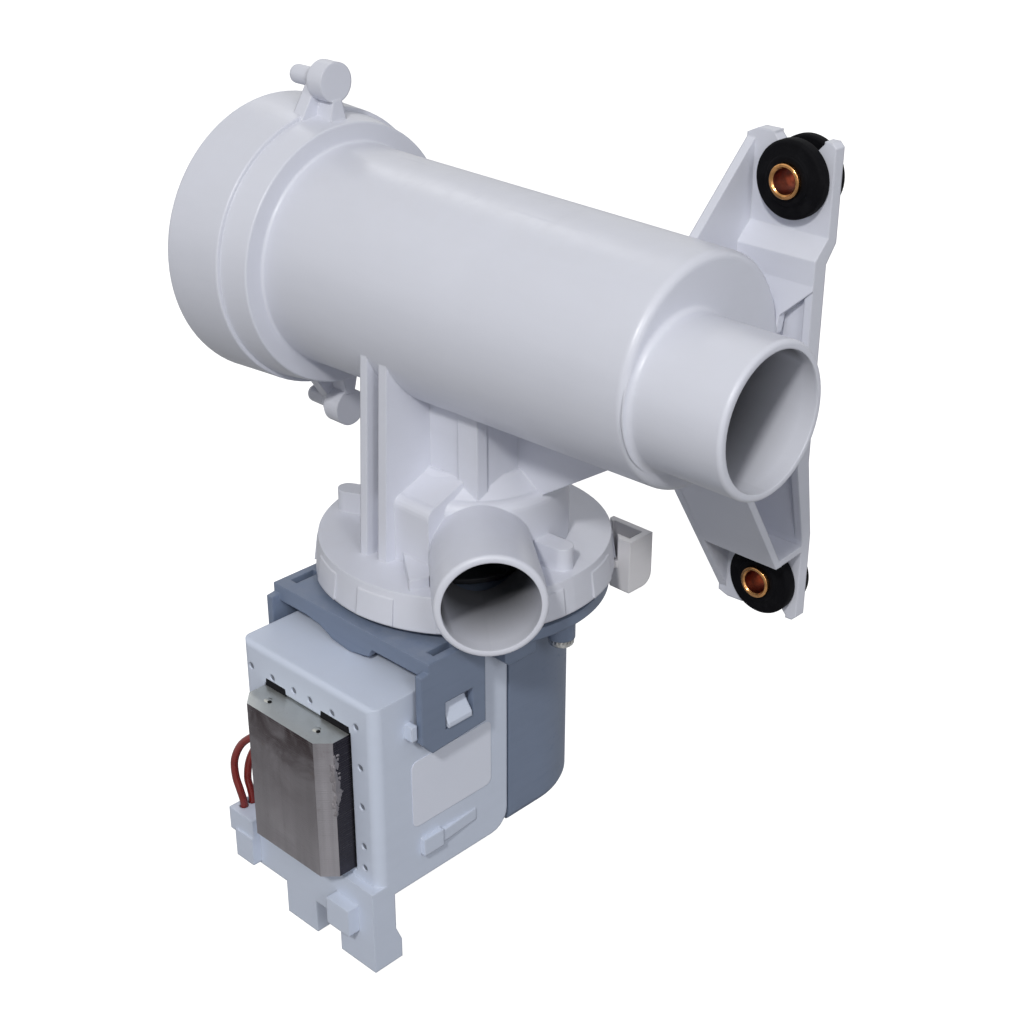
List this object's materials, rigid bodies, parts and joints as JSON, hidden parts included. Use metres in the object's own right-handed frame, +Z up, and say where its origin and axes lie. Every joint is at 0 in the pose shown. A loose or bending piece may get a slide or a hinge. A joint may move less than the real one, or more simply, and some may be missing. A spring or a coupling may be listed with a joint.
{
  "type": "washer drain pump",
  "caption": "Drain pump for a washing machine: filter tube over a round pump head with a side outlet, driven by a small motor, hung from a slotted bracket.",
  "frame": {"origin": "midpoint between the two bracket sleeves' bores, on the plane of the sleeves' rear ends, where they meet the washer's cabinet", "axes": "+X along the filter tube towards the inlet spigot, +Y through the bracket sleeves from the pump to the cabinet, +Z up along the motor axis"},
  "size_m": [0.1765, 0.1089, 0.2213],
  "materials": {
    "housing": "smooth moulded plastic, semi-gloss",
    "lock": "smooth moulded plastic",
    "rubber": "matt black rubber",
    "copper": "bright copper-plated steel",
    "screw_steel": "bright zinc",
    "seal": "dark rubber",
    "flange": "glass-filled plastic, satin",
    "cover": "satin moulded plastic",
    "laminations": "bare rolled sheet edges",
    "bobbin": "moulded plastic",
    "winding": "enamelled copper wire",
    "tin": "tinned",
    "lead": "insulated wire",
    "label": "paper label, blank",
    "bearing": "sintered bronze",
    "ferrite": "dull ceramic magnet",
    "impeller": "moulded plastic"
  },
  "bodies": {
    "base": {"pump_housing": "housing", "lock_clip": "lock", "upper_grommet": "rubber", "lower_grommet": "rubber", "upper_sleeve": "copper", "lower_sleeve": "copper", "housing_screws": "screw_steel", "flange_gasket": "seal", "motor_flange": "flange", "pole_hood": "flange", "stator_cover": "cover", "core_yoke": "laminations", "left_pole_core": "laminations", "right_pole_core": "laminations", "left_bobbin": "bobbin", "right_bobbin": "bobbin", "left_coil": "winding", "right_coil": "winding", "tab_terminals": "tin", "front_red_lead": "lead", "rear_red_lead": "lead", "rating_label": "label", "bearing_holder": "bobbin", "front_bearing": "bearing", "shaft_seal": "seal", "rear_bearing_cushion": "seal", "rear_bearing": "bearing"},
    "rotor": {"rotor_shaft": "screw_steel", "rotor_magnet": "ferrite", "magnet_jacket": "flange", "drive_dog": "flange", "shaft_clip": "screw_steel"},
    "impeller": {"impeller": "impeller", "impeller_hub_cap": "flange"},
    "basket": {"filter_basket": "impeller"},
    "cap": {"filter_cap": "lock", "cap_seal": "seal"}
  },
  "joints": [
    {"name": "rotor_spin", "type": "hinge", "parent": "base", "child": "rotor", "pos_m": [-0.0759, -0.041, 0], "axis": [0, 0, 1], "continuous": true},
    {"name": "impeller_play", "type": "hinge", "parent": "rotor", "child": "impeller", "pos_m": [-0.0759, -0.041, 0], "axis": [0, 0, 1], "range_deg": [-130, 130]},
    {"name": "filter_slide", "type": "slide", "parent": "base", "child": "basket", "axis": [-1, 0, 0], "range_m": [0, 0.0048]},
    {"name": "cap_turn", "type": "hinge", "parent": "basket", "child": "cap", "pos_m": [0, -0.041, 0.0147], "axis": [-1, 0, 0], "range_deg": [0, 95]}
  ],
  "couplings": [
    {"joint": "filter_slide", "follows": "cap_turn", "m_per_rad": 0.0028648}
  ]
}
